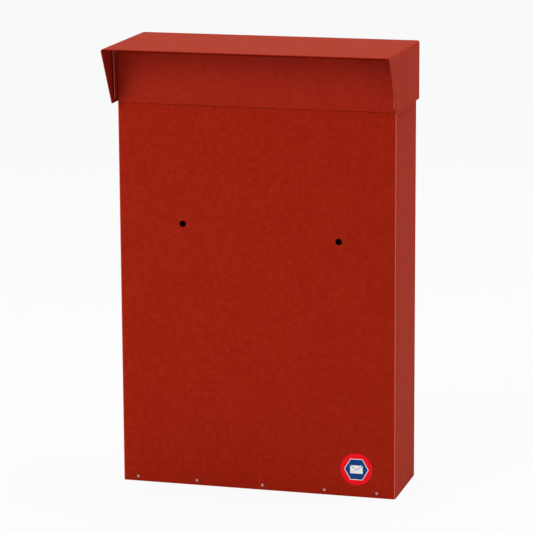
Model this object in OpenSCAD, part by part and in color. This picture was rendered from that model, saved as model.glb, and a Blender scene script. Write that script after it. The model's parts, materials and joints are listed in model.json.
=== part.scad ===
// Sheet steel letter box with a hooded posting flap in front and an emptying door behind.
// The front faces -Y, +X is to the right of someone who faces the front, +Z is up.
// The origin is the centre of the underside.

/* [Case] */
// Width over the side walls
case_w = 380; // [320:1:460]
// Depth from the front wall's face to the rear face
case_d = 120; // [100:1:170]
// Height from the underside to the top of the hood
case_h = 600; // [480:1:720]
// Thickness of every steel sheet
sheet_t = 1.2; // [1:0.1:1.4]
// Outside radius of every right-angled bend
bend_r = 3; // [2.4:0.1:3.2]
// Width of the rear jambs beside the door
jamb_w = 14; // [13:0.5:18]
// Depth of the jambs' inward return
jamb_return = 15.2; // [14.8:0.1:15.4]
// Height of a folded-over safety edge
hem_h = 7; // [5:0.5:9]
// Air gap inside a folded-over safety edge
hem_gap = 0.4; // [0.3:0.1:0.6]

/* [Fixing holes] */
// Diameter of the two holes in the front wall
hole_d = 9; // [6:0.5:12]
// Distance between the two holes across the front
hole_spread = 214; // [160:1:250]
// How far the middle of the two holes lies to the right of the case's middle
hole_shift = 5.5; // [0:0.5:12]
// Height of the left hole, seen from the front
hole_left_z = 361; // [260:1:400]
// Height of the right hole, which sits lower
hole_right_z = 347; // [260:1:400]

/* [Hood] */
// Air gap between the case and the hood's skirts
hood_gap = 2.2; // [1.8:0.1:5]
// Height of the cheeks and of the rear skirt
hood_drop = 78; // [68:1:96]
// How far the roof stands out in front of the case
visor_reach = 56; // [40:1:70]
// How far the foot of a cheek stands out in front of the case
cheek_reach = 15; // [9:0.5:24]
// Radius at the front foot of a cheek
cheek_corner_r = 3; // [2:0.5:5]
// Width of the case's top flanges, which carry the hood
top_flange_w = 20; // [18:1:28]
// Length of the case's top flanges
top_flange_len = 80; // [60:1:84]
// Distance between the two weld studs on a side
stud_spacing = 50; // [40:1:54]
// Diameter of a weld stud
stud_d = 5; // [4:0.5:6]
// Length of a weld stud below the roof
stud_len = 11; // [9:0.5:14]

/* [Flap] */
// How far the flap hangs down over the front wall
flap_overlap = 6; // [4:0.5:12]
// Gap between the flap and each ear
flap_side_gap = 1; // [0.8:0.1:2.5]
// Diameter of the hinge rod
rod_d = 4; // [3.5:0.1:4.5]
// How far the rod's axis lies in front of the case
rod_reach = 2.5; // [2:0.1:3]
// How far the rod's axis lies below the roof's underside
rod_drop = 9.8; // [9:0.1:12]
// How far the side walls' ears stand out in front of the case at the top
ear_reach = 17; // [14:0.5:28]
// How far the ears stand out in front of the case at their foot
ear_foot = 12.5; // [8:0.5:13]
// Radius at the front foot of an ear
ear_corner_r = 2.5; // [1.5:0.5:4]

/* [Door] */
// Gap around the door
door_gap = 1.5; // [1.3:0.1:2]
// Depth of the door's folded rim
door_depth = 12; // [11:0.5:12]
// Height of the sill under the door
sill_h = 22; // [18:0.5:28]
// Height of the stops behind the door's rim
stop_h = 10; // [7:0.5:14]
// Diameter of the pivot pins
pivot_d = 5; // [4:0.5:5]
// Distance from the door's edge to the pivot axis
pivot_inset = 14; // [14:0.5:20]
// Distance from the door's face to the pivot axis
pivot_back = 7.5; // [7.3:0.1:7.7]

/* [Lock] */
// Height of the lock's axis above the underside
lock_z = 270; // [180:1:340]
// Distance from the door's edge to the lock's axis
lock_inset = 24.5; // [22:0.5:30]
// Diameter of the lock's barrel
barrel_d = 18; // [17:0.5:19]
// Diameter of the plug that the key turns
plug_d = 12; // [10:0.5:12]
// Thickness of the cam
cam_t = 2; // [1.5:0.1:2.4]
// Width of the cam's arm
cam_w = 14; // [12:0.5:16]
// How far the cam reaches past the edge of the jamb
cam_grip = 8; // [6:0.5:9]

/* [Rivets and label] */
// Diameter of a rivet's shank
rivet_d = 2.4; // [2.2:0.1:3.2]
// Diameter of a rivet's head
rivet_head_d = 5; // [4.6:0.1:6.4]
// Height of a rivet's head
rivet_head_h = 0.8; // [0.7:0.1:1]
// Height of the front rivets above the underside
rivet_z = 6.4; // [6:0.1:7.5]
// Distance from the case's left side to the first front rivet
rivet_left = 21; // [16:0.5:30]
// Distance from the case's right side to the last front rivet
rivet_right = 25; // [16:0.5:30]
// Diameter of the round label
label_d = 44; // [35:1:50]
// Thickness of the label
label_t = 0.3; // [0.2:0.1:0.5]
// Distance from the case's right side to the label's centre
label_right = 53; // [40:0.5:80]
// Height of the label's centre
label_z = 38; // [36:0.5:60]

/* [Hidden] */
$fn = 64;

// Sheet and folds
in_r = bend_r - sheet_t;
hem_in = hem_gap / 2;
hem_out = hem_in + sheet_t;
relief = 0.6;
red = "firebrick";
zinc = "silver";

// Case
half_w = case_w / 2;
half_d = case_d / 2;
inner_x = half_w - sheet_t;
inner_y = half_d - sheet_t;
roof_under = case_h - sheet_t;
skirt_z = case_h - hood_drop;
front_top = skirt_z + flap_overlap;
wall_top = front_top - hem_out;
ear_kerf = 1;
jamb_x = half_w - jamb_w;
opening_margin = 2;
header_gap = 3;
hem_end_gap = 3;
header_z = skirt_z - opening_margin;
tray_rim = 2 * rivet_z + relief;
// The front rivets' places between the first and the last, as shares of the way
rivet_shares = [0, 0.25, 0.526, 0.784, 1];
rivet_first = -half_w + rivet_left;
rivet_span = case_w - rivet_left - rivet_right;
rivet_clear = 0.05;
rivet_bulb_d = rivet_d + 1.4;
rivet_bulb_h = 2.8;
mandrel_d = rivet_d * 0.56;
side_rivet_x = half_w - jamb_w / 2;
side_rivet_edge = 13;
sill_rivet_z = sill_h / 2 - sheet_t;
header_rivet_zs = [header_z + side_rivet_edge, roof_under - side_rivet_edge];
drain_d = 5;
drain_inset = 50;

// Hood
hood_in_x = half_w + hood_gap;
hood_in_y = half_d + hood_gap;
hood_core_x = hood_in_x - in_r;
hood_core_y = hood_in_y - in_r;
hood_core_z = case_h - bend_r;
stud_x = half_w - top_flange_w / 2;
stud_mid_y = -5;
stud_ys = [stud_mid_y - stud_spacing / 2, stud_mid_y + stud_spacing / 2];
nut_clear = 0.05;
nut_h = 4;
nut_flange_h = 1;

// Flap, drawn hanging straight down from an axis at the origin
rod_y = -half_d - rod_reach;
rod_z = roof_under - rod_drop;
rod_clear = 0.08;
curl_in = rod_d / 2 + rod_clear;
curl_out = curl_in + sheet_t;
flap_half = inner_x - flap_side_gap;
flap_len = rod_z - skirt_z;
flap_rest_gap = 0.3;
// The flap leans in until the back of its folded edge comes to rest on the front wall
hem_arm = flap_len - hem_out;
hem_ahead = curl_out - 2 * hem_out;
flap_lean = atan(hem_ahead / hem_arm) + asin((rod_reach - flap_rest_gap) / norm([hem_arm, hem_ahead]));

// Door
door_x = jamb_x - door_gap;
door_z0 = sill_h + door_gap;
door_z1 = header_z - door_gap;
stop_gap = 0.3;
stop_y = half_d - door_depth - stop_gap;
pivot_x = door_x - pivot_inset;
pivot_y = half_d - pivot_back;
pivot_clear = 0.06;
pin_clear = 0.03;
pin_head_d = pivot_d + 3;
pin_head_h = 2;
pin_tail = 3;
clip_t = 0.8;
clip_gap = 0.4;
clip_d = pivot_d + 3;
groove_d = pivot_d - 1;
stop_margin = 2.5;
stop_clear = 10;
pad_margin = 3;
stop_x0 = -door_x + stop_margin;
stop_x1 = pivot_x - stop_clear;
pad_x = stop_x1 + stop_margin;
pad_y = pivot_y - pivot_d - pad_margin;

// Lock, drawn with its axis along +Y and the cam hanging down
lock_x = -door_x + lock_inset;
bezel_d = barrel_d + 5;
bezel_t = 2.5;
barrel_flat = barrel_d - 2;
cam_clear = 0.5;
cam_y1 = half_d - jamb_return - cam_clear;
cam_y0 = cam_y1 - cam_t;
barrel_y0 = cam_y1 + 0.3;
plug_clear = 0.05;
plug_head_d = plug_d + 2.5;
plug_head_h = 1.9;
plug_face_y = half_d + bezel_t - 0.2;
tang = plug_d * 0.6;
cam_arm = jamb_x - door_x + lock_inset + cam_grip;
lock_nut_af = barrel_d + 4;
lock_nut_h = 4;
keyway_w = 1.8;
keyway_h = plug_d * 0.7;
keyway_depth = 8;
cam_screw_d = 4;
cam_screw_head_d = 8;
cam_screw_head_h = 2;
cam_screw_len = 6;

// Extrude a drawing of the YZ plane from x0 to x1
module along_x(x0, x1) {
    translate([x0, 0, 0]) rotate([90, 0, 90]) linear_extrude(x1 - x0) children();
}

// Extrude a drawing of the XZ plane from y0 to y1
module along_y(y0, y1) {
    translate([0, y1, 0]) rotate([90, 0, 0]) linear_extrude(y1 - y0) children();
}

// Extrude a drawing of the XY plane from z0 to z1
module along_z(z0, z1) {
    translate([0, 0, z0]) linear_extrude(z1 - z0) children();
}

// Block between two corners
module block(low, high) {
    translate(low) cube(high - low);
}

// Both a shape and its mirror image across the YZ plane
module both_sides() {
    children();
    mirror([1, 0, 0]) children();
}

// Part of a disc between two angles at most a half turn apart
module sector(r, a0, a1) {
    mid = (a0 + a1) / 2;
    reach = 3 * r;
    intersection() {
        circle(r);
        polygon([
            [0, 0],
            [reach * cos(a0), reach * sin(a0)],
            [reach * cos(mid), reach * sin(mid)],
            [reach * cos(a1), reach * sin(a1)],
        ]);
    }
}

// The same part of a flat ring
module ring_sector(r_in, r_out, a0, a1) {
    difference() {
        sector(r_out, a0, a1);
        circle(r_in);
    }
}

// Section of a folded sheet: each step is a flat length and the turn after it, left or right.
// It starts at the origin, heading along +X, with the sheet on the left of the line drawn.
module folded(steps, i = 0) {
    flat = steps[i][0];
    turn = steps[i][1];
    if (flat > 0)
        square([flat, sheet_t]);
    if (turn > 0) {
        translate([flat, bend_r]) ring_sector(in_r, bend_r, -90, turn - 90);
        translate([flat + bend_r * sin(turn), bend_r * (1 - cos(turn))])
            rotate(turn) folded(steps, i + 1);
    }
    if (turn < 0) {
        translate([flat, -in_r]) ring_sector(in_r, bend_r, 90 + turn, 90);
        translate([flat - in_r * sin(turn), -in_r * (1 - cos(turn))])
            rotate(turn) folded(steps, i + 1);
    }
}

// Section of a safety edge folded over towards +X, with its tip on the X axis, opening towards -Y
module hem_section() {
    translate([hem_out, -hem_out]) ring_sector(hem_in, hem_out, 0, 180);
    translate([hem_out + hem_in, -hem_out - hem_h]) square([sheet_t, hem_h]);
}

// Blind rivet along +Z, with its head above the origin and its sheets below
module blind_rivet() {
    dome_r = (pow(rivet_head_d / 2, 2) + pow(rivet_head_h, 2)) / (2 * rivet_head_h);
    grip = 2 * sheet_t;
    rotate_extrude() {
        difference() {
            intersection() {
                translate([0, rivet_head_h - dome_r]) circle(dome_r);
                square([rivet_head_d / 2, rivet_head_h]);
            }
            translate([0, rivet_head_h * 0.4]) square([mandrel_d / 2, rivet_head_h]);
        }
        translate([0, -grip]) square([rivet_d / 2, grip]);
        translate([0, -grip - rivet_bulb_h]) square([rivet_bulb_d / 2 - 0.6, rivet_bulb_h]);
        translate([0, -grip - rivet_bulb_h + 0.6]) square([rivet_bulb_d / 2, rivet_bulb_h - 0.6]);
        translate([rivet_bulb_d / 2 - 0.6, -grip - rivet_bulb_h + 0.6]) circle(0.6);
    }
}

// Hexagonal prism across its flats
module hexagon(across, height) {
    cylinder(d = across / cos(30), h = height, $fn = 6);
}

// Round hole or pin along +Y, from y0 to y1
module round_y(d, y0, y1) {
    translate([0, y1, 0]) rotate([90, 0, 0]) cylinder(d = d, h = y1 - y0);
}

module at_front_rivets() {
    for (share = rivet_shares)
        translate([rivet_first + share * rivet_span, -half_d, rivet_z]) rotate([90, 0, 0]) children();
}

module at_side_rivets(heights) {
    for (side = [-1, 1], height = heights)
        translate([side * side_rivet_x, half_d, height]) rotate([-90, 0, 0]) children();
}

module at_studs() {
    for (side = [-1, 1], y = stud_ys)
        translate([side * stud_x, y, roof_under]) children();
}

module rivet_hole() {
    translate([0, 0, -3 * sheet_t]) cylinder(d = rivet_d + 2 * rivet_clear, h = 4 * sheet_t);
}

// Case wall section with the rear jambs, with or without their inward returns
module wall_section(returns) {
    jamb_flat = jamb_w - (returns ? 2 : 1) * bend_r;
    walls = [
        [jamb_flat, 90],
        [case_d - 2 * bend_r, 90],
        [case_w - 2 * bend_r, 90],
        [case_d - 2 * bend_r, 90],
    ];
    return_flat = jamb_return - bend_r;
    if (returns)
        translate([-jamb_x, half_d - jamb_return]) rotate(90)
            folded(concat([[return_flat, 90]], walls, [[jamb_flat, 90], [return_flat, 0]]));
    else
        translate([-jamb_x, half_d]) rotate(180)
            folded(concat(walls, [[jamb_flat, 0]]));
}

// Upright sheet whose front edge runs from [y1, z1] down to a rounded foot at [y0, z0]
module slanted_sheet(y1, z1, y0, z0, back_y, corner_r) {
    slope = atan((y0 - y1) / (z1 - z0));
    // The corner's tangent points lie this far from the foot along both edges
    tangent = corner_r / tan((90 + slope) / 2);
    centre = [y0 + tangent, z0 + corner_r];
    on_slope = centre - corner_r * [cos(slope), sin(slope)];
    polygon([[back_y, z1], [y1, z1], on_slope, centre, [y0 + tangent, z0], [back_y, z0]]);
    translate(centre) sector(corner_r, 180 + slope, 270);
}

// Ears that stand forward from the side walls and hold the flap's rod
module rod_ears() {
    both_sides()
        along_x(inner_x, half_w) difference() {
            slanted_sheet(-half_d - ear_reach, roof_under - bend_r, -half_d - ear_foot, wall_top + ear_kerf,
                -half_d + bend_r, ear_corner_r);
            translate([rod_y, rod_z]) circle(d = rod_d + rod_clear);
        }
}

// Flanges along the top of the side walls, which the hood rests on
module top_flanges() {
    flange_y0 = stud_mid_y - top_flange_len / 2;
    both_sides()
        along_y(flange_y0, flange_y0 + top_flange_len)
            translate([half_w, roof_under - bend_r]) rotate(90)
                folded([[0, 90], [top_flange_w - bend_r, 0]]);
}

module body_shell() {
    return_z0 = sill_h + opening_margin;
    return_z1 = header_z - opening_margin;
    hem_half = half_w - bend_r - hem_end_gap;
    color(red) difference() {
        union() {
            difference() {
                union() {
                    along_z(0, return_z0) wall_section(false);
                    along_z(return_z0, return_z1) wall_section(true);
                    along_z(return_z1, roof_under - bend_r) wall_section(false);
                }
                block([-half_w - 1, -half_d - 1, wall_top], [half_w + 1, -half_d + bend_r, case_h]);
            }
            rod_ears();
            top_flanges();
            along_x(-hem_half, hem_half) translate([-half_d, front_top]) hem_section();
        }
        translate([hole_shift - hole_spread / 2, 0, hole_left_z]) round_y(hole_d, -half_d - 1, -inner_y + 1);
        translate([hole_shift + hole_spread / 2, 0, hole_right_z]) round_y(hole_d, -half_d - 1, -inner_y + 1);
        at_front_rivets() rivet_hole();
        at_side_rivets([sill_rivet_z]) rivet_hole();
        at_side_rivets(header_rivet_zs) rivet_hole();
        at_studs() translate([0, 0, -2 * sheet_t]) cylinder(d = stud_d + 0.5, h = 3 * sheet_t);
    }
}

// Cuts that leave the lip between the jambs, and the stop clear of the door's swing
module trim_lip(z0, z1) {
    both_sides() block([door_x, 0, z0], [half_w, half_d, z1]);
}

module bottom_tray() {
    web_half = inner_x - in_r - relief;
    side_half = inner_y - bend_r - relief;
    lip_flat = inner_y - bend_r - stop_y - in_r;
    color(red) difference() {
        union() {
            difference() {
                along_x(-web_half, web_half) translate([-inner_y, tray_rim]) rotate(-90) folded([
                    [tray_rim - bend_r, 90],
                    [2 * inner_y - 2 * bend_r, 90],
                    [sill_h - 2 * bend_r, 90],
                    [lip_flat, -90],
                    [stop_h - in_r, 0],
                ]);
                trim_lip(sill_h - bend_r, sill_h + stop_h + 1);
                for (span = [[-half_w, stop_x0], [stop_x1, half_w]])
                    block([span[0], 0, sill_h - bend_r], [span[1], stop_y + in_r, sill_h + stop_h + 1]);
            }
            along_y(-side_half, side_half) translate([-inner_x, tray_rim]) rotate(-90) folded([
                [tray_rim - bend_r, 90],
                [2 * inner_x - 2 * bend_r, 90],
                [tray_rim - bend_r, 0],
            ]);
            block([pad_x, pad_y, sill_h - sheet_t], [door_x, stop_y + in_r, sill_h]);
        }
        translate([pivot_x, pivot_y, 0]) cylinder(d = pivot_d + 2 * pivot_clear, h = sill_h + 1);
        at_front_rivets() rivet_hole();
        at_side_rivets([sill_rivet_z]) rivet_hole();
        both_sides()
            translate([half_w - drain_inset, 0, -1]) cylinder(d = drain_d, h = sheet_t + 2);
    }
}

module rear_header() {
    web_half = inner_x - in_r - relief;
    lip_flat = inner_y - bend_r - stop_y - in_r;
    top_y = stud_mid_y + top_flange_len / 2 + header_gap;
    color(red) difference() {
        union() {
            difference() {
                along_x(-web_half, web_half) translate([stop_y, header_z - stop_h]) rotate(90) folded([
                    [stop_h - in_r, -90],
                    [lip_flat, 90],
                    [roof_under - header_z - 2 * bend_r, 90],
                    [inner_y - bend_r - top_y, 0],
                ]);
                trim_lip(header_z - stop_h - 1, header_z + bend_r);
                for (span = [[-half_w, stop_x0], [stop_x1, half_w]])
                    block([span[0], 0, header_z - stop_h - 1], [span[1], stop_y + in_r, header_z + bend_r]);
            }
            block([pad_x, pad_y, header_z], [door_x, stop_y + in_r, header_z + sheet_t]);
        }
        translate([pivot_x, pivot_y, header_z - 1]) cylinder(d = pivot_d + 2 * pivot_clear, h = sheet_t + 2);
        at_side_rivets(header_rivet_zs) rivet_hole();
    }
}

module front_rivets() {
    color(zinc) at_front_rivets() blind_rivet();
}

module sill_rivets() {
    color(zinc) at_side_rivets([sill_rivet_z]) blind_rivet();
}

module header_rivets() {
    color(zinc) at_side_rivets(header_rivet_zs) blind_rivet();
}

module hood() {
    front_y = -half_d - visor_reach;
    color(red) {
        block([-hood_core_x, front_y, roof_under], [hood_core_x, hood_core_y, case_h]);
        block([-hood_core_x, hood_in_y, skirt_z], [hood_core_x, hood_in_y + sheet_t, hood_core_z]);
        along_x(-hood_core_x, hood_core_x)
            translate([hood_core_y, hood_core_z]) ring_sector(in_r, bend_r, 0, 90);
        both_sides() {
            along_x(hood_in_x, hood_in_x + sheet_t)
                slanted_sheet(front_y, hood_core_z, -half_d - cheek_reach, skirt_z, hood_core_y, cheek_corner_r);
            along_y(front_y, hood_core_y)
                translate([hood_core_x, hood_core_z]) ring_sector(in_r, bend_r, 0, 90);
            along_z(skirt_z, hood_core_z)
                translate([hood_core_x, hood_core_y]) ring_sector(in_r, bend_r, 0, 90);
            translate([hood_core_x, hood_core_y, hood_core_z])
                rotate_extrude(angle = 90) ring_sector(in_r, bend_r, 0, 90);
        }
        at_studs() translate([0, 0, -stud_len]) cylinder(d = stud_d, h = stud_len);
    }
}

module hood_nuts() {
    color(zinc) at_studs() translate([0, 0, -sheet_t]) difference() {
        union() {
            translate([0, 0, -nut_h]) hexagon(stud_d * 1.6, nut_h);
            translate([0, 0, -nut_flange_h]) cylinder(d = stud_d * 2.1, h = nut_flange_h);
        }
        translate([0, 0, -nut_h - 1]) cylinder(d = stud_d + 2 * nut_clear, h = nut_h + 2);
    }
}

module flap_rod() {
    color(zinc) along_x(-half_w - 1, half_w + 1) translate([rod_y, rod_z]) circle(d = rod_d);
}

module flap() {
    color(red) translate([0, rod_y, rod_z]) rotate([flap_lean, 0, 0]) along_x(-flap_half, flap_half) {
        translate([-curl_out, hem_out - flap_len]) square([sheet_t, flap_len - hem_out]);
        ring_sector(curl_in, curl_out, 0, 180);
        ring_sector(curl_in, curl_out, -105, 0);
        translate([-curl_out, -flap_len]) mirror([0, 1]) hem_section();
    }
}

module label() {
    color("crimson") translate([half_w - label_right, 0, label_z])
        round_y(label_d, -half_d - label_t, -half_d);
}

module door() {
    side_half = door_x - bend_r - relief;
    color(red) difference() {
        union() {
            along_z(door_z0 + bend_r + relief, door_z1 - bend_r - relief)
                translate([door_x, half_d - door_depth]) rotate(90) folded([
                    [door_depth - bend_r, 90],
                    [2 * door_x - 2 * bend_r, 90],
                    [door_depth - bend_r, 0],
                ]);
            along_x(-side_half, side_half) translate([half_d - door_depth, door_z0]) folded([
                [door_depth - bend_r, 90],
                [door_z1 - door_z0 - 2 * bend_r, 90],
                [door_depth - bend_r, 0],
            ]);
        }
        translate([lock_x, 0, lock_z]) intersection() {
            round_y(barrel_d + 0.2, inner_y - 1, half_d + 1);
            block([-barrel_flat / 2 - 0.1, inner_y - 1, -barrel_d], [barrel_flat / 2 + 0.1, half_d + 1, barrel_d]);
        }
        translate([pivot_x, pivot_y, door_z0 - 1])
            cylinder(d = pivot_d + 2 * pin_clear, h = door_z1 - door_z0 + 2);
    }
}

// Pivot pin along +Z, with its head below the door's rim at the origin
module pivot_pin() {
    rim = sheet_t;
    groove_z = rim + door_gap + sheet_t + clip_gap;
    translate([0, 0, -pin_head_h]) cylinder(d = pin_head_d, h = pin_head_h);
    difference() {
        cylinder(d = pivot_d, h = groove_z + pin_tail);
        translate([0, 0, groove_z]) difference() {
            cylinder(d = pivot_d + 1, h = clip_t);
            cylinder(d = groove_d, h = clip_t);
        }
    }
}

// Open retaining ring that snaps into a pivot pin's groove
module pivot_clip() {
    translate([0, 0, sheet_t + door_gap + sheet_t + clip_gap]) difference() {
        cylinder(d = clip_d, h = clip_t);
        cylinder(d = groove_d, h = clip_t);
        block([-groove_d * 0.35, -clip_d, 0], [groove_d * 0.35, 0, clip_t]);
    }
}

module at_pivots() {
    translate([pivot_x, pivot_y, door_z1 - sheet_t]) children();
    translate([pivot_x, pivot_y, door_z0 + sheet_t]) mirror([0, 0, 1]) children();
}

module pivot_pins() {
    color(zinc) at_pivots() pivot_pin();
}

module pivot_clips() {
    color("dimgray") at_pivots() pivot_clip();
}

module pivot_washer() {
    color("whitesmoke") translate([pivot_x, pivot_y, sill_h]) difference() {
        cylinder(d = pivot_d + 4.5, h = door_gap - pin_clear);
        cylinder(d = pivot_d + 2 * pivot_clear, h = door_gap);
    }
}

module lock_housing() {
    color(zinc) translate([lock_x, 0, lock_z]) difference() {
        union() {
            round_y(bezel_d, half_d, half_d + bezel_t);
            intersection() {
                round_y(barrel_d, barrel_y0, half_d);
                block([-barrel_flat / 2, barrel_y0, -barrel_d], [barrel_flat / 2, half_d, barrel_d]);
            }
        }
        round_y(plug_d + 2 * plug_clear, barrel_y0 - 1, half_d + bezel_t + 1);
        round_y(plug_head_d + 2 * plug_clear, plug_face_y - plug_head_h - plug_clear, half_d + bezel_t + 1);
    }
}

module lock_nut() {
    color(zinc) translate([lock_x, inner_y, lock_z]) rotate([90, 0, 0]) difference() {
        hexagon(lock_nut_af, lock_nut_h);
        translate([0, 0, -1]) cylinder(d = barrel_d + 0.1, h = lock_nut_h + 2);
    }
}

module lock_plug() {
    color("gainsboro") translate([lock_x, 0, lock_z]) difference() {
        union() {
            round_y(plug_head_d, plug_face_y - plug_head_h, plug_face_y);
            round_y(plug_d, cam_y1, plug_face_y - plug_head_h);
            block([-tang / 2, cam_y0, -tang / 2], [tang / 2, cam_y1, tang / 2]);
        }
        block([-keyway_w / 2, plug_face_y - keyway_depth, -keyway_h / 2], [keyway_w / 2, plug_face_y + 1, keyway_h / 2]);
        round_y(cam_screw_d + 2 * pin_clear, cam_y0 - 1, cam_y0 + cam_screw_len + 1);
    }
}

module lock_cam() {
    tip_r = cam_w / 2;
    color(zinc) translate([lock_x, 0, lock_z]) along_y(cam_y0, cam_y1) difference() {
        union() {
            circle(d = cam_w + 4);
            translate([0, tip_r - cam_arm]) circle(tip_r);
            translate([-tip_r, tip_r - cam_arm]) square([cam_w, cam_arm - tip_r]);
        }
        square(tang + 0.1, center = true);
    }
}

module cam_screw() {
    recess = cam_screw_head_d / 2;
    color(zinc) translate([lock_x, 0, lock_z]) difference() {
        union() {
            round_y(cam_screw_d, cam_y0 - 0.5, cam_y0 + cam_screw_len);
            round_y(cam_screw_head_d + 2, cam_y0 - 0.5, cam_y0);
            round_y(cam_screw_head_d, cam_y0 - 0.5 - cam_screw_head_h, cam_y0 - 0.5);
        }
        for (turn = [0, 90]) rotate([0, turn, 0])
            block([-recess / 2, cam_y0 - 4, -0.5], [recess / 2, cam_y0 - 1.4, 0.5]);
    }
}

body_shell();
bottom_tray();
rear_header();
front_rivets();
sill_rivets();
header_rivets();
hood();
hood_nuts();
flap_rod();
label();
pivot_washer();
flap();
door();
pivot_pins();
pivot_clips();
lock_housing();
lock_nut();
lock_plug();
lock_cam();
cam_screw();
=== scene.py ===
"""Finishes, printed label, studio and camera for a sheet steel letter box."""

from __future__ import annotations

import json
import logging
import math
from dataclasses import dataclass, field
from enum import Enum
from typing import Any, Mapping, Sequence, Union

import bpy
from mathutils import Matrix, Vector

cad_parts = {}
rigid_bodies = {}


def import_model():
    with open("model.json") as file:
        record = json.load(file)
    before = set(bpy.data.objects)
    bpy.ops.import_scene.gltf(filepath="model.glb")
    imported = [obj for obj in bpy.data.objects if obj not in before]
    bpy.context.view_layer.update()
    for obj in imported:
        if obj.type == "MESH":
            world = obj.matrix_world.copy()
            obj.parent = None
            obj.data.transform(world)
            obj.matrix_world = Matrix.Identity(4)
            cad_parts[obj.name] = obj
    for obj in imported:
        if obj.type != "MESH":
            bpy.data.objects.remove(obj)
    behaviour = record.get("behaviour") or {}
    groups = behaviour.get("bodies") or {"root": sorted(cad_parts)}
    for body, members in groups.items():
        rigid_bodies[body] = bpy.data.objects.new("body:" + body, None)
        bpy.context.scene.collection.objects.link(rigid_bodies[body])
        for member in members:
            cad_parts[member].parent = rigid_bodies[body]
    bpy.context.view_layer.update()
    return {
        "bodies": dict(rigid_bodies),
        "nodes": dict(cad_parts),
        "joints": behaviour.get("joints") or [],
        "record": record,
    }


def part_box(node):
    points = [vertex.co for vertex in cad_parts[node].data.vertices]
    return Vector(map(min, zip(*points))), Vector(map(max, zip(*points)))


MM = 0.001
IMAGE_PX = 533
SENSOR_MM = 36.0
WHITE = (1.0, 1.0, 1.0, 1.0)
WELD_REACH = 0.002 * MM
FLAT_ANGLE = math.radians(0.5)
SHARP_ANGLE = math.radians(40)
ROUNDING_STEPS = 2

Colour = tuple[float, float, float]
Point = tuple[float, float, float]

log = logging.getLogger("letter_box")


def srgb(red: int, green: int, blue: int) -> Colour:
    """Turn a colour written in screen values into scene light.

    Args:
        red: The red value from 0 to 255.
        green: The green value from 0 to 255.
        blue: The blue value from 0 to 255.

    Returns:
        The colour in scene light, each part from 0 to 1.
    """
    def linear(value: float) -> float:
        """Undo the screen's gamma for one channel."""
        return value / 12.92 if value <= 0.04045 else ((value + 0.055) / 1.055) ** 2.4
    return linear(red / 255), linear(green / 255), linear(blue / 255)


def middle(box: Sequence[Sequence[float]]) -> Point:
    """Give the middle of a box from its lowest and highest corners."""
    low, high = (Vector(corner) for corner in box)
    return tuple((low + high) / 2)


class Field:
    """A shader value that varies over the surface, with arithmetic on it."""

    def __init__(self, graph: Graph, socket: bpy.types.NodeSocket) -> None:
        """Wrap an output socket of a node in the graph."""
        self.graph = graph
        self.socket = socket

    def _math(self, operation: str, first: Value, second: Value = 0.0) -> Field:
        """Add a Math node.

        Args:
            operation: The Math node's operation.
            first: The first value or field.
            second: The second value or field.

        Returns:
            The result as a field.
        """
        return self.graph.field("ShaderNodeMath", {"operation": operation}, {0: first, 1: second})

    def __add__(self, other: Value) -> Field:
        """Add a value or field."""
        return self._math("ADD", self, other)

    def __radd__(self, other: Value) -> Field:
        """Add this field to a value."""
        return self._math("ADD", other, self)

    def __sub__(self, other: Value) -> Field:
        """Subtract a value or field."""
        return self._math("SUBTRACT", self, other)

    def __rsub__(self, other: Value) -> Field:
        """Subtract this field from a value."""
        return self._math("SUBTRACT", other, self)

    def __mul__(self, other: Value) -> Field:
        """Multiply by a value or field."""
        return self._math("MULTIPLY", self, other)

    def __rmul__(self, other: Value) -> Field:
        """Multiply a value by this field."""
        return self._math("MULTIPLY", other, self)

    def __truediv__(self, other: Value) -> Field:
        """Divide by a value or field."""
        return self._math("DIVIDE", self, other)

    def __lt__(self, other: Value) -> Field:
        """Give 1 where this field is less than the other, and 0 elsewhere."""
        return self._math("LESS_THAN", self, other)

    def __abs__(self) -> Field:
        """Drop the sign."""
        return self._math("ABSOLUTE", self)

    def root(self) -> Field:
        """Take the square root."""
        return self._math("SQRT", self)

    def larger(self, other: Value) -> Field:
        """Take the larger of this and another value or field."""
        return self._math("MAXIMUM", self, other)

    def smaller(self, other: Value) -> Field:
        """Take the smaller of this and another value or field."""
        return self._math("MINIMUM", self, other)

    def between(self, low: float, high: float) -> Field:
        """Go from 0 at a low value to 1 at a high one, and stay there."""
        return ((self - low) / (high - low)).larger(0.0).smaller(1.0)

    def wave(self) -> Field:
        """Take the sine."""
        return self._math("SINE", self)


Value = Union[Field, float]
Tint = Union[Field, Colour]


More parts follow.
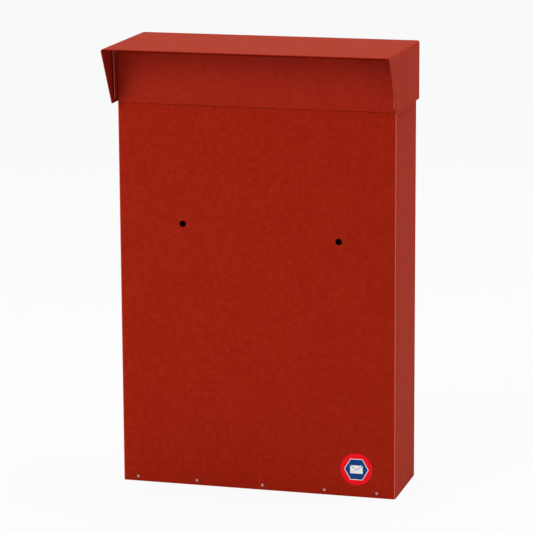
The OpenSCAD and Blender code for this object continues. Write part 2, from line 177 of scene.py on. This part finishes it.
class Graph:
    """The node tree of a material or world, filled through one method."""

    def __init__(self, tree: bpy.types.NodeTree) -> None:
        """Empty the tree and keep it."""
        self.tree = tree
        tree.nodes.clear()

    def node(self, kind: str, settings: Mapping[str, Any] | None = None,
             inputs: Mapping[str | int, Any] | None = None) -> bpy.types.Node:
        """Add a node.

        Args:
            kind: The node's type.
            settings: Properties that are set before the sockets.
            inputs: Values, fields or output sockets for its input sockets.

        Returns:
            The new node.
        """
        node = self.tree.nodes.new(kind)
        for name, value in (settings or {}).items():
            setattr(node, name, value)
        for key, value in (inputs or {}).items():
            source = value.socket if isinstance(value, Field) else value
            if isinstance(source, bpy.types.NodeSocket):
                self.tree.links.new(source, node.inputs[key])
            else:
                node.inputs[key].default_value = source
        return node

    def field(self, kind: str, settings: Mapping[str, Any] | None = None,
              inputs: Mapping[str | int, Any] | None = None, output: str | int = 0) -> Field:
        """Add a node and wrap one of its outputs, as node() does."""
        return Field(self, self.node(kind, settings, inputs).outputs[output])

    def place(self) -> Field:
        """Give the surface point in the object's own frame, in metres."""
        return self.field("ShaderNodeTexCoord", output="Object")

    def split(self, vector: Field) -> tuple[Field, Field, Field]:
        """Split a vector.

        Args:
            vector: The vector as a field.

        Returns:
            Its X, Y and Z as fields.
        """
        parts = self.node("ShaderNodeSeparateXYZ", inputs={0: vector})
        x, y, z = (Field(self, parts.outputs[i]) for i in range(3))
        return x, y, z

    def axes(self, centre: Point = (0.0, 0.0, 0.0)) -> tuple[Field, Field, Field]:
        """Give the surface point's distances in metres from a centre along X, Y and Z."""
        x, y, z = self.split(self.place())
        return x - centre[0], y - centre[1], z - centre[2]

    def facing(self) -> tuple[Field, Field, Field]:
        """Give the surface's direction along X, Y and Z of the object's own frame."""
        return self.split(self.field("ShaderNodeTexCoord", output="Normal"))

    def turning(self) -> Field:
        """Give 0 on faces square to an axis, and up to 0.29 half way round an upright bend."""
        x, y, z = (abs(part) for part in self.facing())
        return (1.0 - x.larger(y).larger(z)) * (1.0 - z)

    def seen(self) -> Field:
        """Tell the rays that show a surface from those that light other things.

        Returns:
            1 on rays from the camera, gloss and glass, and 0 on the others.
        """
        path = self.node("ShaderNodeLightPath")
        seen = Field(self, path.outputs["Is Camera Ray"])
        for ray in ("Is Glossy Ray", "Is Transmission Ray"):
            seen = seen.larger(Field(self, path.outputs[ray]))
        return seen

    def noise(self, size: float, detail: float = 2.0) -> Field:
        """Give smooth noise from 0 to 1.

        Args:
            size: The size of its grains in metres.
            detail: How many finer octaves are added.

        Returns:
            The noise as a field.
        """
        return self.field("ShaderNodeTexNoise", {"noise_dimensions": "3D"},
                          {"Vector": self.place(), "Scale": 1.0 / size, "Detail": detail})

    def blend(self, amount: Value, low: Tint, high: Tint) -> Field:
        """Blend two colours.

        Args:
            amount: How far to go from the first to the second, from 0 to 1.
            low: The first colour.
            high: The second colour.

        Returns:
            The blended colour as a field.
        """
        def full(colour: Tint) -> Any:
            """Give a plain colour its alpha."""
            return (*colour, 1.0) if isinstance(colour, tuple) else colour
        return self.field("ShaderNodeMix", {"data_type": "RGBA"},
                          {0: amount, 6: full(low), 7: full(high)}, output=2)

    def bump(self, height: Field, depth: float, under: Field | None = None) -> Field:
        """Raise the surface.

        Args:
            height: The height from 0 to 1.
            depth: How high 1 is, in metres.
            under: Another bumped normal that this one lies on.

        Returns:
            The bumped normal.
        """
        inputs: dict[str | int, Any] = {"Strength": 1.0, "Distance": depth, "Height": height}
        if under is not None:
            inputs["Normal"] = under
        return self.field("ShaderNodeBump", inputs=inputs)


@dataclass(frozen=True)
class Finish:
    """A finish that becomes one material."""

    name: str

    def surface(self, graph: Graph) -> bpy.types.Node:
        """Build the shader, as each finish does in its own way."""
        raise NotImplementedError

    def material(self) -> bpy.types.Material:
        """Make the material.

        Returns:
            The material, or the one that was made before under this name.
        """
        found = bpy.data.materials.get(self.name)
        if found is not None:
            return found
        made = bpy.data.materials.new(self.name)
        made.use_nodes = True
        graph = Graph(made.node_tree)
        shader = self.surface(graph)
        graph.node("ShaderNodeOutputMaterial", inputs={"Surface": shader.outputs[0]})
        return made


@dataclass(frozen=True)
class PowderCoat(Finish):
    """Baked powder coat with orange peel, fine grain, a warm chalky bloom and painted highlights on its
    edges.
    """

    colour: Colour = srgb(142, 25, 8)
    pale: Colour = srgb(162, 40, 22)
    # The bend colour is a painted highlight: a paler red laid along the rounded bends where light would
    # catch them.
    bend_highlight_colour: Colour = srgb(214, 100, 84)
    bend_start: float = 0.05
    bend_full: float = 0.25
    bend_highlight_share: float = 1.0
    # These settings paint a highlight on forward sheet edges in front of a given depth; by default there is
    # none.
    edge_highlight_front: float = -1.0
    edge_highlight_share: float = 0.7
    edge_highlight_turn: float = 0.3
    cloud_size: float = 60 * MM
    cloud_share: float = 0.35
    fleck_size: float = 1.6 * MM
    fleck_share: float = 0.2
    peel_size: float = 6.5 * MM
    peel_range: tuple[float, float] = (0.28, 0.72)
    peel_share: float = 0.45
    peel_depth: float = 0.3 * MM
    grain_size: float = 0.6 * MM
    grain_depth: float = 0.006 * MM
    roughness: float = 0.46
    roughness_spread: float = 0.1
    gloss: float = 0.003
    bloom: float = 0.1
    bloom_spread: float = 0.3
    bloom_colour: Colour = (1.0, 0.62, 0.36)

    def surface(self, graph: Graph) -> bpy.types.Node:
        """Build the coat's shader.

        Args:
            graph: The material's empty node tree.

        Returns:
            The shader's node.
        """
        clouds = graph.noise(self.cloud_size, detail=3.0)
        flecks = graph.noise(self.fleck_size, detail=1.0)
        ripple = graph.noise(self.peel_size).between(*self.peel_range)
        shade = clouds * self.cloud_share + ripple * self.peel_share + flecks * self.fleck_share
        # Painted highlight: the paler colour along the rounded bends, and on forward sheet edges where
        # asked.
        bend = graph.turning().between(self.bend_start, self.bend_full) * self.bend_highlight_share
        painted_highlight = bend.larger(self._front_edges(graph) * self.edge_highlight_share)
        peel = graph.bump(ripple, self.peel_depth)
        grain = graph.bump(graph.noise(self.grain_size), self.grain_depth, peel)
        coat = graph.blend(shade, self.colour, self.pale)
        return graph.node("ShaderNodeBsdfPrincipled", inputs={
            "Base Color": graph.blend(painted_highlight, coat, self.bend_highlight_colour),
            "Roughness": self.roughness + (clouds - 0.5) * self.roughness_spread,
            "Specular IOR Level": self.gloss,
            "Sheen Weight": self.bloom,
            "Sheen Roughness": self.bloom_spread,
            "Sheen Tint": (*self.bloom_colour, 1.0),
            "Normal": grain,
        })

    def _front_edges(self, graph: Graph) -> Field:
        """Find the forward-facing sheet edges that get a painted highlight.

        Args:
            graph: The material's node tree.

        Returns:
            1 on faces that look forward or back in front of edge_highlight_front, and 0 elsewhere.
        """
        _, across, _ = graph.facing()
        _, y, _ = graph.axes()
        return (y < self.edge_highlight_front) * (1.0 - abs(across) < self.edge_highlight_turn)


@dataclass(frozen=True)
class Plating(Finish):
    """Plated metal with a fine grain and faint clouding."""

    colour: Colour = (0.56, 0.56, 0.55)
    dull: Colour = (0.42, 0.42, 0.42)
    cloud_size: float = 3 * MM
    grain_size: float = 0.25 * MM
    grain_depth: float = 0.004 * MM
    roughness: float = 0.34
    roughness_spread: float = 0.12

    def surface(self, graph: Graph) -> bpy.types.Node:
        """Build the plating's shader.

        Args:
            graph: The material's empty node tree.

        Returns:
            The shader's node.
        """
        clouds = graph.noise(self.cloud_size, detail=3.0)
        grain = graph.noise(self.grain_size)
        return graph.node("ShaderNodeBsdfPrincipled", inputs={
            "Base Color": graph.blend(clouds, self.colour, self.dull),
            "Metallic": 1.0,
            "Roughness": self.roughness + clouds * self.roughness_spread,
            "Normal": graph.bump(grain, self.grain_depth),
        })


@dataclass(frozen=True)
class RivetHead(Finish):
    """Dull aluminium dome on a wall across Y, with painted shade darkening its rim."""

    crown: Colour = (0.56, 0.4, 0.38)
    rim: Colour = (0.13, 0.04, 0.028)
    rim_turn: float = 0.1
    rim_shade_share: float = 0.6
    cloud_size: float = 1.5 * MM
    roughness: float = 0.42
    roughness_spread: float = 0.14

    def surface(self, graph: Graph) -> bpy.types.Node:
        """Build the rivet's shader.

        Args:
            graph: The material's empty node tree.

        Returns:
            The shader's node.
        """
        _, across, _ = graph.facing()
        # Painted shade: where the dome turns away at its rim it is darkened and made less metallic.
        rim = (1.0 - abs(across)).between(0.0, self.rim_turn)
        clouds = graph.noise(self.cloud_size)
        return graph.node("ShaderNodeBsdfPrincipled", inputs={
            "Base Color": graph.blend(rim, self.crown, self.rim),
            "Metallic": 1.0 - rim * self.rim_shade_share,
            "Roughness": self.roughness + clouds * self.roughness_spread,
        })


@dataclass(frozen=True)
class TurnedPlate(Finish):
    """Nickel plate over turned metal, with rings around an axis along Y."""

    centre: Point = (0.0, 0.0, 0.0)
    colour: Colour = (0.66, 0.65, 0.62)
    dull: Colour = (0.5, 0.49, 0.47)
    ring_pitch: float = 0.35 * MM
    ring_depth: float = 0.006 * MM
    cloud_size: float = 4 * MM
    roughness: float = 0.22
    roughness_spread: float = 0.06

    def surface(self, graph: Graph) -> bpy.types.Node:
        """Build the plate's shader.

        Args:
            graph: The material's empty node tree.

        Returns:
            The shader's node.
        """
        x, _, z = graph.axes(self.centre)
        radius = (x * x + z * z).root()
        rings = (radius * (2 * math.pi / self.ring_pitch)).wave() * 0.5 + 0.5
        clouds = graph.noise(self.cloud_size)
        return graph.node("ShaderNodeBsdfPrincipled", inputs={
            "Base Color": graph.blend(clouds, self.colour, self.dull),
            "Metallic": 1.0,
            "Roughness": self.roughness + (rings + clouds) * self.roughness_spread,
            "Normal": graph.bump(rings, self.ring_depth),
        })


@dataclass(frozen=True)
class Moulded(Finish):
    """Moulded plastic with a fine spark-eroded texture."""

    colour: Colour = (0.78, 0.76, 0.7)
    shade: Colour = (0.7, 0.68, 0.62)
    grain_size: float = 0.3 * MM
    grain_depth: float = 0.006 * MM
    roughness: float = 0.42
    roughness_spread: float = 0.16

    def surface(self, graph: Graph) -> bpy.types.Node:
        """Build the plastic's shader.

        Args:
            graph: The material's empty node tree.

        Returns:
            The shader's node.
        """
        grain = graph.noise(self.grain_size)
        return graph.node("ShaderNodeBsdfPrincipled", inputs={
            "Base Color": graph.blend(grain, self.colour, self.shade),
            "Roughness": self.roughness + grain * self.roughness_spread,
            "Normal": graph.bump(grain, self.grain_depth),
        })


@dataclass(frozen=True)
class LabelPrint(Finish):
    """Printed vinyl: an envelope on a six-sided field on a red ground."""

    centre: Point = (0.0, 0.0, 0.0)
    ground: Colour = srgb(238, 10, 27)
    field_colour: Colour = srgb(14, 62, 124)
    paper: Colour = srgb(238, 238, 240)
    field_reach: float = 14.5 * MM
    field_line: float = 0.8 * MM
    envelope_half: tuple[float, float] = (8.6 * MM, 5.6 * MM)
    fold_line: float = 0.45 * MM
    fold_slope: float = 1.15
    mottle_size: float = 1.5 * MM
    roughness: float = 0.3
    roughness_spread: float = 0.06
    gloss: float = 0.08

    def surface(self, graph: Graph) -> bpy.types.Node:
        """Build the print's shader.

        Args:
            graph: The material's empty node tree.

        Returns:
            The shader's node.
        """
        x, _, z = graph.axes(self.centre)
        across, up = abs(x), abs(z)
        slant = math.radians(30)
        reach = up.larger(across * math.cos(slant) + up * math.sin(slant))
        line = reach < self.field_reach
        blue = reach < self.field_reach - self.field_line
        half_w, half_h = self.envelope_half
        sheet = (across < half_w) * (up < half_h)
        below_fold = z - half_h + (half_w - across) * (half_h / half_w * self.fold_slope)
        fold = (abs(below_fold) < self.fold_line) * sheet
        colour = graph.blend(line, self.ground, self.paper)
        colour = graph.blend(blue, colour, self.field_colour)
        colour = graph.blend(sheet - fold, colour, self.paper)
        return graph.node("ShaderNodeBsdfPrincipled", inputs={
            "Base Color": colour,
            "Roughness": self.roughness + graph.noise(self.mottle_size) * self.roughness_spread,
            "Specular IOR Level": self.gloss,
        })


class Softness(Enum):
    """How far an edge is rounded, in metres."""

    SHEET = 0.18 * MM
    PLAIN_SHEET = 0.25 * MM
    FASTENER = 0.12 * MM
    LOCK = 0.2 * MM


@dataclass
class Assembly:
    """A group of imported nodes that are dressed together."""

    frame: Mapping[str, Any]

    def dress(self, node: str, finish: Finish, softness: Softness | None = None) -> None:
        """Give a node its material and rounded edges.

        Args:
            node: The node's name.
            finish: What it is finished with.
            softness: How far its edges are rounded, if at all.
        """
        piece = self.frame["nodes"][node]
        piece.data.materials.clear()
        piece.data.materials.append(finish.material())
        if softness is not None:
            self._soften(piece, softness)
        log.info("%s dressed in %s", node, finish.name)

    @staticmethod
    def _soften(piece: bpy.types.Object, softness: Softness) -> None:
        """Join a piece's split corners and round its sharp edges.

        Args:
            piece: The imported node's object.
            softness: How far its edges are rounded. A plain sheet has no short edges, so its flat faces
                are merged and nothing limits the rounding.
        """
        plain = softness is Softness.PLAIN_SHEET
        weld = piece.modifiers.new("join", "WELD")
        weld.merge_threshold = WELD_REACH
        if plain:
            flat = piece.modifiers.new("merge_flat", "DECIMATE")
            flat.decimate_type = "DISSOLVE"
            flat.angle_limit = FLAT_ANGLE
        bevel = piece.modifiers.new("round", "BEVEL")
        bevel.width = softness.value
        bevel.segments = ROUNDING_STEPS
        bevel.limit_method = "ANGLE"
        bevel.angle_limit = SHARP_ANGLE
        bevel.use_clamp_overlap = not plain
        piece.modifiers.new("shade", "WEIGHTED_NORMAL")


@dataclass
class Case(Assembly):
    """The folded case with its tray, header, hood, rivets and label."""

    coat: Finish = field(default_factory=lambda: PowderCoat("red_powder_coat"))
    ear_depth: float = 9 * MM
    zinc: Finish = field(default_factory=lambda: Plating("bright_zinc"))
    rivet_metal: Finish = field(default_factory=lambda: RivetHead("rivet_aluminium"))
    nylon: Finish = field(default_factory=lambda: Moulded("natural_nylon"))

    def build(self) -> None:
        """Dress the pieces that stay still."""
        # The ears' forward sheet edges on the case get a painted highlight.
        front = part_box("body_shell")[0][1] + self.ear_depth
        self.dress("body_shell", PowderCoat("case_powder_coat", edge_highlight_front=front), Softness.SHEET)
        for node in ("bottom_tray", "rear_header"):
            self.dress(node, self.coat, Softness.SHEET)
        self.dress("hood", self.coat, Softness.PLAIN_SHEET)
        for node in ("front_rivets", "sill_rivets", "header_rivets"):
            self.dress(node, self.rivet_metal, Softness.FASTENER)
        self.dress("hood_nuts", self.zinc, Softness.FASTENER)
        self.dress("flap_rod", self.zinc)
        self.dress("pivot_washer", self.nylon)
        self.dress("label", LabelPrint("label_print", centre=middle(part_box("label"))))


@dataclass
class Flap(Assembly):
    """The posting flap."""

    # On the flap the painted bend highlight is kept faint.
    coat: Finish = field(default_factory=lambda: PowderCoat(
        "flap_powder_coat", bend_highlight_share=0.15, gloss=0.04))

    def build(self) -> None:
        """Dress the flap."""
        self.dress("flap", self.coat, Softness.PLAIN_SHEET)


@dataclass
class Door(Assembly):
    """The emptying door with its pivots and lock."""

    coat: Finish = field(default_factory=lambda: PowderCoat("red_powder_coat"))
    zinc: Finish = field(default_factory=lambda: Plating("bright_zinc"))
    dark_steel: Finish = field(default_factory=lambda: Plating(
        "phosphated_steel", colour=(0.12, 0.12, 0.125), dull=(0.07, 0.07, 0.075), roughness=0.5))

    def build(self) -> None:
        """Dress the door and what it carries."""
        self.dress("door", self.coat, Softness.PLAIN_SHEET)
        for node in ("pivot_pins", "lock_nut", "lock_cam", "cam_screw"):
            self.dress(node, self.zinc, Softness.FASTENER)
        self.dress("pivot_clips", self.dark_steel)
        nickel = TurnedPlate("nickel_plate", centre=middle(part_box("lock_housing")))
        for node in ("lock_housing", "lock_plug"):
            self.dress(node, nickel, Softness.LOCK)


@dataclass(frozen=True)
class PaleFloor(Finish):
    """A pale floor that shows white to the eye and keeps a faint shadow."""

    colour: Colour = (0.9, 0.9, 0.91)
    shown: Colour = (0.985, 0.985, 0.992)
    share: float = 0.93

    def surface(self, graph: Graph) -> bpy.types.Node:
        """Build the floor's shader.

        Args:
            graph: The material's empty node tree.

        Returns:
            The shader's node.
        """
        matt = graph.node("ShaderNodeBsdfDiffuse", inputs={"Color": (*self.colour, 1.0)})
        glow = graph.node("ShaderNodeEmission", inputs={"Color": (*self.shown, 1.0), "Strength": 1.0})
        return graph.node("ShaderNodeMixShader", inputs={
            0: graph.seen() * self.share, 1: matt.outputs[0], 2: glow.outputs[0]})


@dataclass(frozen=True)
class Softbox:
    """A square area lamp aimed at the box."""

    name: str
    place: Point
    size: float
    power: float
    aim: Point = (0.0, 0.0, 0.3)

    def build(self) -> None:
        """Hang the lamp."""
        lamp = bpy.data.lights.new(self.name, "AREA")
        lamp.shape = "SQUARE"
        lamp.size = self.size
        lamp.energy = self.power
        holder = bpy.data.objects.new(self.name, lamp)
        bpy.context.scene.collection.objects.link(holder)
        holder.location = self.place
        towards = Vector(self.aim) - Vector(self.place)
        holder.rotation_euler = towards.to_track_quat("-Z", "Y").to_euler()
        holder.visible_camera = False


@dataclass
class Studio:
    """Floor, soft light, and a camera where the photographer stood."""

    floor_half: float = 30.0
    world_level: float = 0.36
    horizon: Colour = (0.939, 0.939, 0.946)
    lamps: Sequence[Softbox] = (
        Softbox("overhead", (0.2, 0.3, 2.6), 2.0, 39.0),
        Softbox("high_left", (-1.6, -2.2, 1.9), 1.4, 43.0),
        Softbox("low_left", (-2.2, -2.4, 0.8), 1.4, 10.0),
        Softbox("right", (2.9, 0.7, 0.8), 1.2, 26.0),
    )
    camera_place_mm: Point = (978.75, -3557.45, 1101.24)
    azimuth: float = 15.42
    tilt: float = 12.32
    roll: float = -0.33
    focal_px: float = 2801.3
    sight: float = 100.0

    def build(self) -> None:
        """Set the floor, the lights, the world and the camera."""
        self._floor()
        self._world()
        for lamp in self.lamps:
            lamp.build()
        self._camera()
        bpy.context.scene.view_settings.view_transform = "Standard"

    def _floor(self) -> None:
        """Lay the floor under the box."""
        half = self.floor_half
        mesh = bpy.data.meshes.new("floor")
        corners = [(-half, -half, 0), (half, -half, 0), (half, half, 0), (-half, half, 0)]
        mesh.from_pydata(corners, [], [(0, 1, 2, 3)])
        mesh.materials.append(PaleFloor("pale_floor").material())
        floor = bpy.data.objects.new("floor", mesh)
        bpy.context.scene.collection.objects.link(floor)

    def _world(self) -> None:
        """Surround the box with plain soft light, shown as pale as the far floor."""
        world = bpy.data.worlds.new("studio")
        bpy.context.scene.world = world
        world.use_nodes = True
        graph = Graph(world.node_tree)
        light = graph.node("ShaderNodeBackground", inputs={"Color": WHITE, "Strength": self.world_level})
        shown = graph.node("ShaderNodeBackground", inputs={
            "Color": (*self.horizon, 1.0), "Strength": 1.0})
        mixed = graph.node("ShaderNodeMixShader", inputs={
            0: graph.seen(), 1: light.outputs[0], 2: shown.outputs[0]})
        graph.node("ShaderNodeOutputWorld", inputs={"Surface": mixed.outputs[0]})

    def _camera(self) -> None:
        """Place the camera by its azimuth, tilt and roll."""
        turn, tilt, roll = (math.radians(angle) for angle in (self.azimuth, self.tilt, self.roll))
        ahead = Vector((-math.sin(turn) * math.cos(tilt), math.cos(turn) * math.cos(tilt), -math.sin(tilt)))
        level = Vector((math.cos(turn), math.sin(turn), 0.0))
        upright = level.cross(ahead)
        right = level * math.cos(roll) + upright * math.sin(roll)
        above = upright * math.cos(roll) - level * math.sin(roll)
        data = bpy.data.cameras.new("camera")
        data.sensor_fit = "HORIZONTAL"
        data.sensor_width = SENSOR_MM
        data.lens = self.focal_px / IMAGE_PX * SENSOR_MM
        data.clip_end = self.sight
        camera = bpy.data.objects.new("camera", data)
        bpy.context.scene.collection.objects.link(camera)
        basis = Matrix((right, above, -ahead)).transposed().to_4x4()
        camera.matrix_world = Matrix.Translation(Vector(self.camera_place_mm) * MM) @ basis
        bpy.context.scene.camera = camera


def main() -> None:
    """Load the frame, dress every piece and set the studio."""
    logging.basicConfig(level=logging.INFO, format="%(name)s: %(message)s")
    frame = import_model()
    for assembly in (Case(frame), Flap(frame), Door(frame)):
        assembly.build()
    Studio().build()


if __name__ == "__main__":
    main()
